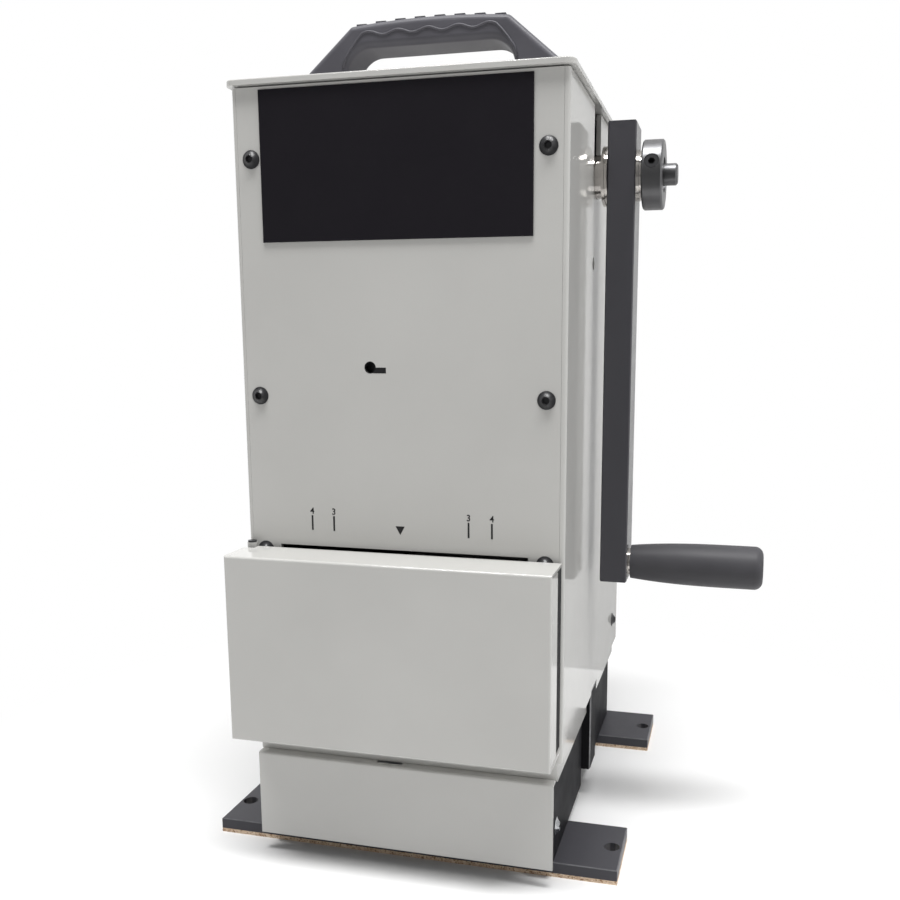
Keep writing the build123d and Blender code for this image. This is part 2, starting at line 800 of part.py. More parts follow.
# Back plate and the two guide blocks that hold the ram
with BuildPart() as back_plate:
    with BuildSketch(front_plane(back_plate_y + back_plate_t)):
        with Locations((0, back_plate_bottom)):
            Rectangle(2 * plate_in, back_plate_top - back_plate_bottom, align=(Align.CENTER, Align.MIN))
        with Locations(*[(seat.origin.X, seat.origin.Z) for seat in guide_screw_seats]):
            Circle(guide_screw_r + hole_clearance, mode=Mode.SUBTRACT)
    extrude(amount=back_plate_t)
    for seat in frame_screw_seats:
        side = math.copysign(1, seat.origin.X)
        round_hole(Plane((side * plate_in, seat.origin.Y, seat.origin.Z), z_dir=(side, 0, 0)),
                   frame_screw_r + hole_clearance, frame_screw_l)
back_plate.part.label = "back_plate"
export_step(back_plate.part, "parts/back_plate.step")

frame_screw = flat_screw(frame_screw_r, frame_screw_l)
with BuildPart() as frame_screws:
    with Locations(*frame_screw_seats):
        add(frame_screw)
frame_screws.part.label = "frame_screws"
export_step(frame_screws.part, "parts/frame_screws.step")

guide_front = ram_front - slide_gap - guide_wall
for guide_name, guide_z, guide_h in (
    ("lower", lower_guide_z, lower_guide_h),
    ("upper", upper_guide_z, upper_guide_h),
):
    with BuildPart() as guide_block:
        with BuildSketch(Plane.XY.offset(guide_z)):
            with Locations((0, guide_front)):
                Rectangle(guide_w, back_plate_y - guide_front, align=(Align.CENTER, Align.MIN))
            with Locations((0, press_y)):
                Rectangle(ram_w + 2 * slide_gap, ram_d + 2 * slide_gap, mode=Mode.SUBTRACT)
        extrude(amount=guide_h)
        for seat in guide_screw_seats:
            if guide_z < seat.origin.Z < guide_z + guide_h:
                round_hole(Plane((seat.origin.X, back_plate_y, seat.origin.Z), z_dir=(0, 1, 0)),
                           guide_screw_r + hole_clearance, guide_screw_l)
    guide_block.part.label = f"{guide_name}_guide_block"
    export_step(guide_block.part, f"parts/{guide_name}_guide_block.step")

guide_screw = cap_screw(guide_screw_r, guide_screw_l, guide_screw_head_r, guide_screw_head_h)
with BuildPart() as guide_screws:
    with Locations(*guide_screw_seats):
        add(guide_screw)
guide_screws.part.label = "guide_screws"
export_step(guide_screws.part, "parts/guide_screws.step")

# Bushes
with BuildPart() as right_crank_bush:
    with BuildSketch(side_plane(plate_in)):
        with Locations((crank_y, crank_z)):
            Circle(bush_r)
    extrude(amount=bush_end - plate_in)
    with BuildSketch(side_plane(plate_in)):
        with Locations((crank_y, crank_z)):
            Circle(crank_bush_flange_r)
    extrude(amount=-crank_bush_flange_t)
    round_hole(Plane((bush_end, crank_y, crank_z), z_dir=(1, 0, 0)), crank_shaft_r + fit, bush_end)
right_crank_bush.part.label = "right_crank_bush"
export_step(right_crank_bush.part, "parts/right_crank_bush.step")

with BuildPart() as left_crank_bush:
    with BuildSketch(side_plane(-plate_in)):
        with Locations((crank_y, crank_z)):
            Circle(bush_r)
    extrude(amount=-plate_t)
    with BuildSketch(side_plane(-plate_in)):
        with Locations((crank_y, crank_z)):
            Circle(crank_bush_flange_r)
    extrude(amount=crank_bush_flange_t)
    round_hole(Plane((-plate_out, crank_y, crank_z), z_dir=(-1, 0, 0)), crank_shaft_r + fit, plate_out)
left_crank_bush.part.label = "left_crank_bush"
export_step(left_crank_bush.part, "parts/left_crank_bush.step")

main_bush_flange_r = 17.5
main_bush_flange_t = 2.5
with BuildPart() as main_shaft_bushes:
    for side in (-1, 1):
        with BuildSketch(side_plane(side * plate_in)):
            with Locations((main_y, main_z)):
                Circle(main_bush_r)
                Circle(main_shaft_r + fit, mode=Mode.SUBTRACT)
        extrude(amount=side * plate_t)
        with BuildSketch(side_plane(side * plate_in)):
            with Locations((main_y, main_z)):
                Circle(main_bush_flange_r)
                Circle(main_shaft_r + fit, mode=Mode.SUBTRACT)
        extrude(amount=-side * main_bush_flange_t)
main_shaft_bushes.part.label = "main_shaft_bushes"
export_step(main_shaft_bushes.part, "parts/main_shaft_bushes.step")

# Crank: shaft, pinion, arm, washers, collar and grip
washer_stack = 2 * washer_t + washer_gap
arm_in = bush_end + thrust_gap + washer_stack
arm_out = arm_in + arm_t
collar_in = arm_out + washer_stack
collar_out = collar_in + collar_l
shaft_step = collar_out - stub_edge
grip_z = crank_z - grip_drop
with BuildPart() as crank_shaft:
    with BuildSketch(side_plane(-plate_out)):
        with Locations((crank_y, crank_z)):
            Circle(crank_shaft_r)
    extrude(amount=plate_out + shaft_step)
    with BuildSketch(side_plane(shaft_step)):
        with Locations((crank_y, crank_z)):
            Circle(stub_r)
    extrude(amount=collar_out + stub_l - shaft_step)
    chamfer(crank_shaft.faces().sort_by(Axis.X)[-1].edges(), stub_edge)
crank_shaft.part.label = "crank_shaft"
export_step(crank_shaft.part, "parts/crank_shaft.step")

pinion_extra = 2.0
pinion_x = gear_x - gear_t / 2 - pinion_extra
pinion_first_tooth = mesh_angle + 180 + 180 / pinion_teeth
with BuildPart() as crank_pinion:
    with BuildSketch(Plane((pinion_x, crank_y, crank_z), x_dir=(0, 1, 0), z_dir=(1, 0, 0))):
        with BuildLine():
            Polyline(*gear_outline(pinion_teeth, gear_module, pinion_first_tooth), close=True)
        make_face()
        Circle(crank_shaft_r + fit, mode=Mode.SUBTRACT)
    extrude(amount=gear_t + 2 * pinion_extra)
crank_pinion.part.label = "crank_pinion"
export_step(crank_pinion.part, "parts/crank_pinion.step")

arm_length = grip_drop + arm_top_over + arm_bottom_over
with BuildPart() as crank_arm:
    with BuildSketch(side_plane(arm_in)):
        with Locations((crank_y, grip_z - arm_bottom_over)):
            Rectangle(arm_w, arm_length, align=(Align.CENTER, Align.MIN))
        with Locations((crank_y, crank_z)):
            Circle(crank_shaft_r + fit, mode=Mode.SUBTRACT)
        with Locations((crank_y, grip_z)):
            Circle(grip_spindle_r + fit, mode=Mode.SUBTRACT)
    extrude(amount=arm_t)
    arm_faces = crank_arm.faces().filter_by(Axis.X)
    chamfer([edge for face in arm_faces for edge in face.outer_wire().edges()], arm_edge)
crank_arm.part.label = "crank_arm"
export_step(crank_arm.part, "parts/crank_arm.step")

for washer_name, washer_r, first_x in (
    ("inner", inner_washer_r, bush_end + thrust_gap),
    ("outer", outer_washer_r, arm_out),
):
    with BuildPart() as washers:
        with BuildSketch(side_plane(first_x)):
            with Locations((crank_y, crank_z)):
                Circle(washer_r)
                Circle(crank_shaft_r + fit, mode=Mode.SUBTRACT)
        extrude(amount=washer_t)
        with BuildSketch(side_plane(first_x + washer_t + washer_gap)):
            with Locations((crank_y, crank_z)):
                Circle(washer_r - washer_step)
                Circle(crank_shaft_r + fit, mode=Mode.SUBTRACT)
        extrude(amount=washer_t)
    washers.part.label = f"{washer_name}_washers"
    export_step(washers.part, f"parts/{washer_name}_washers.step")

set_screw_tilt = math.radians(collar_screw_angle)
set_screw_dir = (0, -math.cos(set_screw_tilt), math.sin(set_screw_tilt))
set_screw_seat = Plane(
    (
        (collar_in + collar_out) / 2,
        crank_y + set_screw_dir[1] * collar_r,
        crank_z + set_screw_dir[2] * collar_r,
    ),
    x_dir=(1, 0, 0),
    z_dir=set_screw_dir,
)
collar_wall = collar_r - crank_shaft_r
with BuildPart() as shaft_collar:
    with BuildSketch(side_plane(collar_in)):
        with Locations((crank_y, crank_z)):
            Circle(collar_r)
            Circle(crank_shaft_r + fit, mode=Mode.SUBTRACT)
    extrude(amount=collar_l)
    collar_faces = shaft_collar.faces().filter_by(Axis.X)
    chamfer([edge for face in collar_faces for edge in face.outer_wire().edges()], steel_edge)
    round_hole(set_screw_seat, collar_screw_r + hole_clearance, collar_wall + steel_edge)
shaft_collar.part.label = "shaft_collar"
export_step(shaft_collar.part, "parts/shaft_collar.step")

with BuildPart() as collar_set_screw:
    with BuildSketch(set_screw_seat.offset(-collar_screw_sunk)):
        Circle(collar_screw_r)
    extrude(amount=collar_screw_sunk + fit - collar_wall)
    with BuildSketch(set_screw_seat.offset(-collar_screw_sunk)):
        RegularPolygon(collar_screw_r / 2, 6)
    extrude(amount=-collar_screw_r, mode=Mode.SUBTRACT)
collar_set_screw.part.label = "collar_set_screw"
export_step(collar_set_screw.part, "parts/collar_set_screw.step")

grip_in = arm_out + grip_washer_t + grip_gap
grip_out = grip_in + grip_l
spindle_end = grip_out - grip_cap_t
with BuildPart() as grip_spindle:
    with BuildSketch(side_plane(arm_in + arm_edge)):
        with Locations((crank_y, grip_z)):
            Circle(grip_spindle_r)
    extrude(amount=spindle_end - arm_in - arm_edge)
grip_spindle.part.label = "grip_spindle"
export_step(grip_spindle.part, "parts/grip_spindle.step")

with BuildPart() as grip_washer:
    with BuildSketch(side_plane(arm_out)):
        with Locations((crank_y, grip_z)):
            Circle(grip_washer_r)
            Circle(grip_spindle_r + fit, mode=Mode.SUBTRACT)
    extrude(amount=grip_washer_t)
grip_washer.part.label = "grip_washer"
export_step(grip_washer.part, "parts/grip_washer.step")

grip_round = 5.0
grip_belly_share = 0.36
grip_flare = 0.12
grip_axis = Axis((0, crank_y, grip_z), (1, 0, 0))
with BuildPart() as crank_grip:
    with BuildSketch(Plane((0, crank_y, grip_z), x_dir=(1, 0, 0), z_dir=(0, -1, 0))):
        with BuildLine():
            neck = Line((grip_in, 0), (grip_in, grip_neck_r))
            flank = Spline(
                (grip_in, grip_neck_r),
                (grip_in + grip_belly_share * grip_l, grip_belly_r),
                (grip_out - grip_round, grip_end_r),
                tangents=((1, grip_flare), (1, 0)),
            )
            dome = RadiusArc(flank @ 1, (grip_out, grip_end_r - grip_round), grip_round)
            Polyline(dome @ 1, (grip_out, 0), (grip_in, 0))
        make_face()
    revolve(axis=grip_axis)
    round_hole(Plane((grip_in, crank_y, grip_z), z_dir=(-1, 0, 0)),
               grip_spindle_r + fit, spindle_end + grip_gap - grip_in)
crank_grip.part.label = "crank_grip"
export_step(crank_grip.part, "parts/crank_grip.step")

# Main shaft with the large gear and the rack pinion
with BuildPart() as main_shaft:
    with BuildSketch(side_plane(-plate_out)):
        with Locations((main_y, main_z)):
            Circle(main_shaft_r)
    extrude(amount=2 * plate_out)
main_shaft.part.label = "main_shaft"
export_step(main_shaft.part, "parts/main_shaft.step")

main_axis_point = (main_y, main_z)
with BuildPart() as main_gear:
    with BuildSketch(Plane((gear_x - gear_t / 2, *main_axis_point), x_dir=(0, 1, 0), z_dir=(1, 0, 0))):
        with BuildLine():
            Polyline(*gear_outline(gear_teeth, gear_module, mesh_angle), close=True)
        make_face()
        window_orbit = (gear_hub_r + gear_r) / 2 - gear_module
        with PolarLocations(window_orbit, gear_window_count, start_angle=mesh_angle):
            Circle(gear_window_r, mode=Mode.SUBTRACT)
    extrude(amount=gear_t)
    with BuildSketch(side_plane(gear_x - gear_hub_l / 2)):
        with Locations(main_axis_point):
            Circle(gear_hub_r)
    extrude(amount=gear_hub_l)
    round_hole(Plane((gear_x + gear_hub_l / 2, *main_axis_point), z_dir=(1, 0, 0)),
               main_shaft_r + fit, gear_hub_l)
main_gear.part.label = "main_gear"
export_step(main_gear.part, "parts/main_gear.step")

rack_side_gap = 1.0
rack_pinion_w = ram_w - 2 * rack_side_gap
with BuildPart() as rack_pinion:
    with BuildSketch(Plane((-rack_pinion_w / 2, *main_axis_point), x_dir=(0, 1, 0), z_dir=(1, 0, 0))):
        with BuildLine():
            Polyline(*gear_outline(rack_teeth, rack_module, 0), close=True)
        make_face()
        Circle(main_shaft_r + fit, mode=Mode.SUBTRACT)
    extrude(amount=rack_pinion_w)
rack_pinion.part.label = "rack_pinion"
export_step(rack_pinion.part, "parts/rack_pinion.step")

# Ram with its rack, the wedge and the ready flag
rack_pitch = math.pi * rack_module
space_half = rack_pitch / 4 + backlash / 2
space_mouth = space_half + rack_module * math.tan(pressure_angle)
space_root = space_half - 1.25 * rack_module * math.tan(pressure_angle)
space_depth = 2.25 * rack_module
rack_spaces_below = 2
rack_spaces_above = 2 + math.ceil(travel / rack_pitch)
flag_t = 3.0
flag_h = 14.0
flag_gap = 2.5
flag_front = y_plate_front + flag_gap
flag_plate_w = 13.0
flag_drop = 2.0
with BuildPart() as ram_bar:
    with BuildSketch(Plane.XY.offset(ram_bottom)):
        with Locations((0, press_y)):
            Rectangle(ram_w, ram_d)
    extrude(amount=ram_top - ram_bottom)
    with BuildSketch(side_plane(-ram_w / 2)):
        for index in range(-rack_spaces_below, rack_spaces_above + 1):
            space_z = main_z + index * rack_pitch
            with BuildLine():
                Polyline(
                    (ram_front, space_z - space_mouth),
                    (ram_front + space_depth, space_z - space_root),
                    (ram_front + space_depth, space_z + space_root),
                    (ram_front, space_z + space_mouth),
                    close=True,
                )
            make_face()
    extrude(amount=ram_w, mode=Mode.SUBTRACT)
    round_hole(Plane((0, press_y, ram_bottom), z_dir=(0, 0, -1)),
               wedge_spigot_r + fit, wedge_spigot_l + slide_gap)
    round_hole(Plane((ram_w / 2, press_y, ram_bottom + wedge_spigot_l / 2), z_dir=(1, 0, 0)),
               wedge_pin_r + fit, ram_w)
ram_bar.part.label = "ram_bar"
export_step(ram_bar.part, "parts/ram_bar.step")

wedge_tip = ram_bottom - wedge_h
wedge_shoulder = ram_bottom - wedge_shoulder_h
with BuildPart() as wedge:
    with BuildSketch(side_plane(-wedge_w / 2)):
        with BuildLine():
            Polyline(
                (press_y - ram_d / 2, ram_bottom),
                (press_y - ram_d / 2, wedge_shoulder),
                (press_y - wedge_land / 2, wedge_tip),
                (press_y + wedge_land / 2, wedge_tip),
                (press_y + ram_d / 2, wedge_shoulder),
                (press_y + ram_d / 2, ram_bottom),
                close=True,
            )
        make_face()
    extrude(amount=wedge_w)
    with BuildSketch(Plane.XY.offset(ram_bottom)):
        with Locations((0, press_y)):
            Circle(wedge_spigot_r)
    extrude(amount=wedge_spigot_l)
    round_hole(Plane((ram_w / 2, press_y, ram_bottom + wedge_spigot_l / 2), z_dir=(1, 0, 0)),
               wedge_pin_r + fit, ram_w)
wedge.part.label = "wedge"
export_step(wedge.part, "parts/wedge.step")

with BuildPart() as wedge_pin:
    with BuildSketch(side_plane(0)):
        with Locations((press_y, ram_bottom + wedge_spigot_l / 2)):
            Circle(wedge_pin_r)
    extrude(amount=ram_w / 2 - slide_gap, both=True)
wedge_pin.part.label = "wedge_pin"
export_step(wedge_pin.part, "parts/wedge_pin.step")

flag_bottom = peep_z - flag_h / 2 - flag_drop
with BuildPart() as ready_flag:
    with BuildSketch(Plane.XY.offset(flag_bottom)):
        with Locations((-ram_w / 2 - flag_t, flag_front)):
            Rectangle(flag_t, press_y + ram_d / 4 - flag_front, align=(Align.MIN, Align.MIN))
        with Locations((peep_x, flag_front)):
            Rectangle(flag_plate_w, flag_t / 2, align=(Align.CENTER, Align.MIN))
    extrude(amount=flag_h)
ready_flag.part.label = "ready_flag"
export_step(ready_flag.part, "parts/ready_flag.step")

# Door: a folded sheet box on a piano hinge at its left edge
door_front = y_front - door_reach
door_rear = y_front - door_standoff
door_mid = ((door_left + door_right) / 2, (door_bottom + door_top) / 2)
door_w = door_right - door_left
door_h = door_top - door_bottom
door_depth = door_rear - door_front
hinge_y = y_front - door_standoff
with BuildPart() as door_shell:
    with BuildSketch(front_plane(door_rear)):
        with Locations(door_mid):
            Rectangle(door_w, door_h)
    extrude(amount=door_depth)
    fillet(door_shell.faces().sort_by(Axis.Y)[0].edges(), door_bend_r)
    with BuildSketch(front_plane(door_rear)):
        with Locations(door_mid):
            Rectangle(door_w - 2 * door_sheet, door_h - 2 * door_sheet)
    extrude(amount=door_depth - door_sheet, mode=Mode.SUBTRACT)
    with BuildSketch(Plane.XY.offset(door_bottom + door_sheet)):
        with Locations((door_right, door_front + door_side_flange)):
            Rectangle(door_sheet, door_depth, align=(Align.MAX, Align.MIN))
    extrude(amount=door_h - 2 * door_sheet, mode=Mode.SUBTRACT)
    with BuildSketch(Plane.XY.offset(door_bottom)):
        with Locations((door_left, hinge_y - hinge_relief)):
            Rectangle(hinge_x + knuckle_r + knuckle_clearance - door_left, door_depth,
                      align=(Align.MIN, Align.MIN))
    extrude(amount=door_h, mode=Mode.SUBTRACT)
    for seam_z in (door_bottom + door_sheet, door_top - door_sheet - door_seam):
        with BuildSketch(Plane.XY.offset(seam_z)):
            with Locations((door_mid[0], door_front + 2 * door_bend_r)):
                Rectangle(door_w, door_depth, align=(Align.CENTER, Align.MIN))
                Rectangle(door_w - 2 * door_sheet, door_depth,
                          align=(Align.CENTER, Align.MIN), mode=Mode.SUBTRACT)
        extrude(amount=door_seam, mode=Mode.SUBTRACT)
door_shell.part.label = "door_shell"
export_step(door_shell.part, "parts/door_shell.step")

knuckle_l = (hinge_top - hinge_bottom - (knuckle_count - 1) * knuckle_gap) / knuckle_count
knuckle_starts = [hinge_bottom + index * (knuckle_l + knuckle_gap) for index in range(knuckle_count)]
leaf_top = panel_screw_rows[0] - screw_head_r - knuckle_clearance
hinge_bore_l = hinge_top - hinge_bottom
hinge_top_point = Plane((hinge_x, hinge_y, hinge_top), z_dir=(0, 0, 1))
door_leaf_x = door_left + door_sheet
with BuildPart() as hinge_fixed_leaf:
    with BuildSketch(Plane.XY.offset(hinge_bottom)):
        with Locations((hinge_x, y_front)):
            Rectangle(leaf_w, leaf_t, align=(Align.MIN, Align.MAX))
    extrude(amount=leaf_top - hinge_bottom)
    for start in knuckle_starts[1::2]:
        with BuildSketch(Plane.XY.offset(start - knuckle_gap)):
            with Locations((hinge_x, hinge_y)):
                Circle(knuckle_r + knuckle_gap)
        extrude(amount=knuckle_l + 2 * knuckle_gap, mode=Mode.SUBTRACT)
    for start in knuckle_starts[0::2]:
        with BuildSketch(Plane.XY.offset(start)):
            with Locations((hinge_x, hinge_y)):
                Circle(knuckle_r)
        extrude(amount=knuckle_l)
    round_hole(hinge_top_point, hinge_pin_r + fit, hinge_bore_l)
    for seat in hinge_screw_seats:
        round_hole(seat, hinge_screw_r + hole_clearance, leaf_t)
hinge_fixed_leaf.part.label = "hinge_fixed_leaf"
export_step(hinge_fixed_leaf.part, "parts/hinge_fixed_leaf.step")

with BuildPart() as hinge_door_leaf:
    with BuildSketch(Plane.XY.offset(hinge_bottom + knuckle_gap)):
        with Locations((door_leaf_x, door_front + 2 * door_bend_r)):
            Rectangle(leaf_t, hinge_y - door_front - 2 * door_bend_r, align=(Align.MIN, Align.MIN))
    extrude(amount=leaf_top - hinge_bottom - knuckle_gap)
    for start in knuckle_starts[0::2]:
        with BuildSketch(Plane.XY.offset(start - knuckle_gap)):
            with Locations((hinge_x, hinge_y)):
                Circle(knuckle_r + knuckle_gap)
        extrude(amount=knuckle_l + 2 * knuckle_gap, mode=Mode.SUBTRACT)
    for start in knuckle_starts[1::2]:
        with BuildSketch(Plane.XY.offset(start)):
            with Locations((hinge_x, hinge_y)):
                Circle(knuckle_r)
        extrude(amount=knuckle_l)
    round_hole(hinge_top_point, hinge_pin_r + fit, hinge_bore_l)
hinge_door_leaf.part.label = "hinge_door_leaf"
export_step(hinge_door_leaf.part, "parts/hinge_door_leaf.step")

pin_head_r = 2.4
pin_head_h = 0.9
with BuildPart() as hinge_pin:
    with BuildSketch(Plane.XY.offset(hinge_bottom)):
        with Locations((hinge_x, hinge_y)):
            Circle(hinge_pin_r)
    extrude(amount=hinge_top - hinge_bottom)
    with BuildSketch(Plane.XY.offset(hinge_top)):
        with Locations((hinge_x, hinge_y)):
            Circle(pin_head_r)
    extrude(amount=pin_head_h)
hinge_pin.part.label = "hinge_pin"
export_step(hinge_pin.part, "parts/hinge_pin.step")

hinge_screw = button_screw(hinge_screw_head_r, hinge_screw_head_h, hinge_screw_r, hinge_screw_l)
with BuildPart() as hinge_screws:
    with Locations(*hinge_screw_seats):
        add(hinge_screw)
hinge_screws.part.label = "hinge_screws"
export_step(hinge_screws.part, "parts/hinge_screws.step")

# Magnetic catch with its strike angle inside the door, and the strip that the door closes on
magnet_margin = 2.8
magnet_x = bay_half_w + magnet_margin
magnet_w = 10.0
magnet_z = 96.0
magnet_h = 22.0
strike_t = 1.5
strike_gap = 0.4
strike_rear = door_front + door_side_flange
with BuildPart() as door_magnet:
    with BuildSketch(front_plane(y_front)):
        with Locations((magnet_x, magnet_z)):
            Rectangle(magnet_w, magnet_h, align=(Align.MIN, Align.MIN))
    extrude(amount=y_front - strike_rear - strike_gap)
door_magnet.part.label = "door_magnet"
export_step(door_magnet.part, "parts/door_magnet.step")

with BuildPart() as door_strike:
    with BuildSketch(Plane.XY.offset(magnet_z)):
        with Locations((door_right - door_sheet, strike_rear)):
            Rectangle(door_right - door_sheet - magnet_x, strike_t, align=(Align.MAX, Align.MAX))
            Rectangle(strike_t, door_side_flange - 2 * door_bend_r, align=(Align.MAX, Align.MAX))
    extrude(amount=magnet_h)
door_strike.part.label = "door_strike"
export_step(door_strike.part, "parts/door_strike.step")

strip_w = 2.9
strip_inset = 1.6
strip_bottom = door_bottom + door_sheet + door_seam
strip_top = door_top - door_sheet - door_seam
with BuildPart() as door_strip:
    with BuildSketch(front_plane(y_front)):
        with Locations((half_w - strip_inset, strip_bottom)):
            Rectangle(strip_w, strip_top - strip_bottom, align=(Align.MAX, Align.MIN))
    extrude(amount=y_front - strike_rear - strike_gap)
door_strip.part.label = "door_strip"
export_step(door_strip.part, "parts/door_strip.step")
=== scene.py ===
"""Looks of a hand-cranked hard drive crusher: finishes, printed marks, light and camera.

Everything is in metres in the part's own frame: +X is the crank side, -Y is the front, +Z is up.
"""
import json
import math

import bpy
from mathutils import Matrix, Vector


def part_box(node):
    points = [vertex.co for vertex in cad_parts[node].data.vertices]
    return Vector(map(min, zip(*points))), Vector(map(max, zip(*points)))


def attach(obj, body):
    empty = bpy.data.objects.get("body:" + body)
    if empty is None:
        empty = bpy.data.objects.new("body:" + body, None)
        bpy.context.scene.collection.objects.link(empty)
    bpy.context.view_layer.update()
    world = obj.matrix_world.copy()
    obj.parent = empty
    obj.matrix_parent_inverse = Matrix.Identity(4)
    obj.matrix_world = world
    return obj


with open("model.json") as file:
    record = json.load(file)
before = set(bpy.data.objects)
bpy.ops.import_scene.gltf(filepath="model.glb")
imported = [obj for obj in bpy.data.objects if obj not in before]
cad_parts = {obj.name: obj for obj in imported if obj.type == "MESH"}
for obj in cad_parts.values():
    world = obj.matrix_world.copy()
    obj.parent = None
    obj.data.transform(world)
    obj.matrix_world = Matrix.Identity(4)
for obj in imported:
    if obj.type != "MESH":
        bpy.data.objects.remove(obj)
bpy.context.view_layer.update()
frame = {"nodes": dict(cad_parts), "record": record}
nodes = frame["nodes"]

# Camera, fitted to the photograph
CAMERA_AT = (0.172743, -0.588598, 0.293959)
CAMERA_YAW = 0.243083
CAMERA_PITCH = 0.162883
CAMERA_ROLL = 0.00154
CAMERA_SENSOR = 36.0
CAMERA_LENS = 37.807
CAMERA_SHIFT = (-0.05805, 0.05041)
CAMERA_NEAR = 0.01

# Printed marks on the front panel, with a plain figure above each
PRINT_PROUD = 0.00006
MARK_X = (-0.0508, -0.0381, 0.0381, 0.0508)
MARK_FIGURES = "4334"
MARK_BOTTOM = 0.1909
MARK_TOP = 0.1991
MARK_WIDTH = 0.0010
DIGIT_HEIGHT = 0.0034
DIGIT_SHARE = 0.7  # height of a figure over the size of its font
DIGIT_GAP = 0.0009
DIGIT_WEIGHT = 0.00007
POINTER_HALF = 0.0026
POINTER_TOP = 0.1953
POINTER_TIP = 0.1906

# Lining of the ready window, by its middle (x, z), and the printed bar beside it
WINDOW_AT = (-0.0153, 0.2796)
WINDOW_R = 0.0030
WINDOW_WALL = 0.00015
READY_BAR_END = -0.0065
READY_BAR_Z = (0.2766, 0.2796)

# Wavy bead moulded on both faces of the carry handle, with the path (x, z) down its right leg
WAVE_MIDDLE = 0.4620
WAVE_SWING = 0.00105
WAVE_LENGTH = 0.01735
WAVE_HALF = 0.0385
LEG_PATH = ((0.0415, 0.4592), (0.0450, 0.4550), (0.0484, 0.4504), (0.0502, 0.4450))
BEAD_R = 0.0007

# Values between which a noise mostly lies, and the same for the rubbed patches of plastic
NOISE_ENDS = (0.3, 0.7)
RUB_ENDS = (0.32, 0.68)

# Noise in the finishes, in features per metre
PAINT_DRIFT = 14.0
PAINT_GLOSS = 55.0
# Patches of the painted edge highlight and wear on chamfers
EDGE_WEAR_AND_HIGHLIGHT_NOISE = 160.0
METAL_STAIN = 60.0
PLASTIC_RUB = 30.0
CORK_GRAIN = 620.0
CORK_FLECK = 900.0
CORK_GLOSS = 400.0
CORK_PIT = 1500.0
STAGE_CLOUD = 3.0
SPECKS_PER_RIPPLE = 2.2

# How far that noise changes a tone or the gloss
DRIFT_TONES = (0.97, 1.03)
SPECK_TONES = (0.95, 1.0)
# Darkest share of the painted edge highlight and wear
EDGE_WEAR_AND_HIGHLIGHT_TONE = 0.6
STAIN_TONE = 0.88
RUB_TONES = (0.9, 1.1)
PLASTIC_SWING = 0.06
CORK_ROUGH = (0.75, 0.95)
CARD_TONE = 0.95
FLOOR_TONES = (0.99, 1.01)

# Pressed cork, as stops of granule colour and of dark flecks, with the depth of pores and pits
CORK_TANS = ((0.1, (0.62, 0.45, 0.31)), (0.5, (0.78, 0.60, 0.44)), (0.9, (0.86, 0.71, 0.56)))
CORK_FLECKS = ((0.36, (0.50, 0.38, 0.30)), (0.46, (1.0, 1.0, 1.0)))
CORK_PORE_DEPTH = 0.0003
CORK_PIT_DEPTH = 0.0001

# Largest part of a face's normal along one axis, where the face counts as square and as slanted
SQUARE_FACE = 0.97
SLANTED_FACE = 0.90

# Lighter colour on chamfered faces: a painted highlight for the glint the edges catch, and partly
# steel that shows through worn paint
PLATE_EDGE_WEAR_AND_HIGHLIGHT = (0.34, 0.34, 0.35)
FOOT_EDGE_WEAR_AND_HIGHLIGHT = (0.16, 0.16, 0.17)

PAINTS = {
    "body_paint": dict(
        colour=(0.56, 0.555, 0.535), rough=0.08, peel=1300.0, depth=0.000003, swing=0.02
    ),
    "black_paint": dict(
        colour=(0.015, 0.015, 0.017), rough=0.55, peel=900.0, depth=0.000016,
        specular=0.05, edge_wear_and_highlight=PLATE_EDGE_WEAR_AND_HIGHLIGHT,
    ),
    "foot_paint": dict(
        colour=(0.066, 0.065, 0.074), rough=0.4, peel=900.0, depth=0.000016,
        specular=0.2, edge_wear_and_highlight=FOOT_EDGE_WEAR_AND_HIGHLIGHT,
    ),
    "arm_paint": dict(
        colour=(0.059, 0.058, 0.066), rough=0.2, peel=800.0, depth=0.000002, swing=0.02
    ),
    "label_face": dict(
        colour=(0.0145, 0.0130, 0.0165), rough=0.4, peel=2600.0, depth=0.000004, specular=0.1
    ),
    "black_oxide": dict(colour=(0.020, 0.020, 0.022), rough=0.34, peel=1800.0, depth=0.00001),
    "print_ink": dict(colour=(0.012, 0.012, 0.013), rough=0.45, peel=2400.0, depth=0.000004),
}

PLASTICS = {
    "ferrite": dict(colour=(0.03, 0.03, 0.03), rough=0.7, grain=1200.0),
    "rubber": dict(colour=(0.016, 0.016, 0.017), rough=0.75, grain=900.0, specular=0.2),
    "handle_plastic": dict(colour=(0.102, 0.100, 0.115), rough=0.45, grain=1500.0, specular=0.3),
    "grip_plastic": dict(colour=(0.061, 0.060, 0.066), rough=0.5, grain=1300.0, specular=0.3),
}

METALS = {
    "zinc": dict(
        colour=(0.42, 0.43, 0.44), rough=0.2, stretch=(1.0, 1.0, 1.0), swing=0.05, scale=300.0
    ),
    "bright_steel": dict(
        colour=(0.60, 0.57, 0.54), rough=0.1, stretch=(1.0, 0.02, 0.02), swing=0.05, scale=2500.0
    ),
    "dark_steel": dict(
        colour=(0.17, 0.17, 0.175), rough=0.36, stretch=(1.0, 0.02, 0.02), swing=0.05, scale=2500.0
    ),
    "machined_steel": dict(colour=(0.42, 0.42, 0.43), rough=0.3, stretch=(1.0, 0.03, 0.03)),
    "tool_steel": dict(colour=(0.22, 0.22, 0.23), rough=0.36, stretch=(0.03, 1.0, 1.0)),
    "bronze": dict(colour=(0.55, 0.36, 0.15), rough=0.34, stretch=(1.0, 0.05, 0.05)),
}

# Lamps by place, point aimed at, width and height, and power in watts
TOP_LAMP = dict(at=(0.2, -0.75, 3.4), target=(0.1, -0.2, 0.2), size=(3.0, 0.8), power=156.0)
RIGHT_LAMP = dict(at=(2.2, 0.2, 1.0), target=(0.0, 0.0, 0.2), size=(1.6, 1.8), power=12.0)
WORLD_FILL = 0.23
WHITE = (1.0, 1.0, 1.0, 1.0)

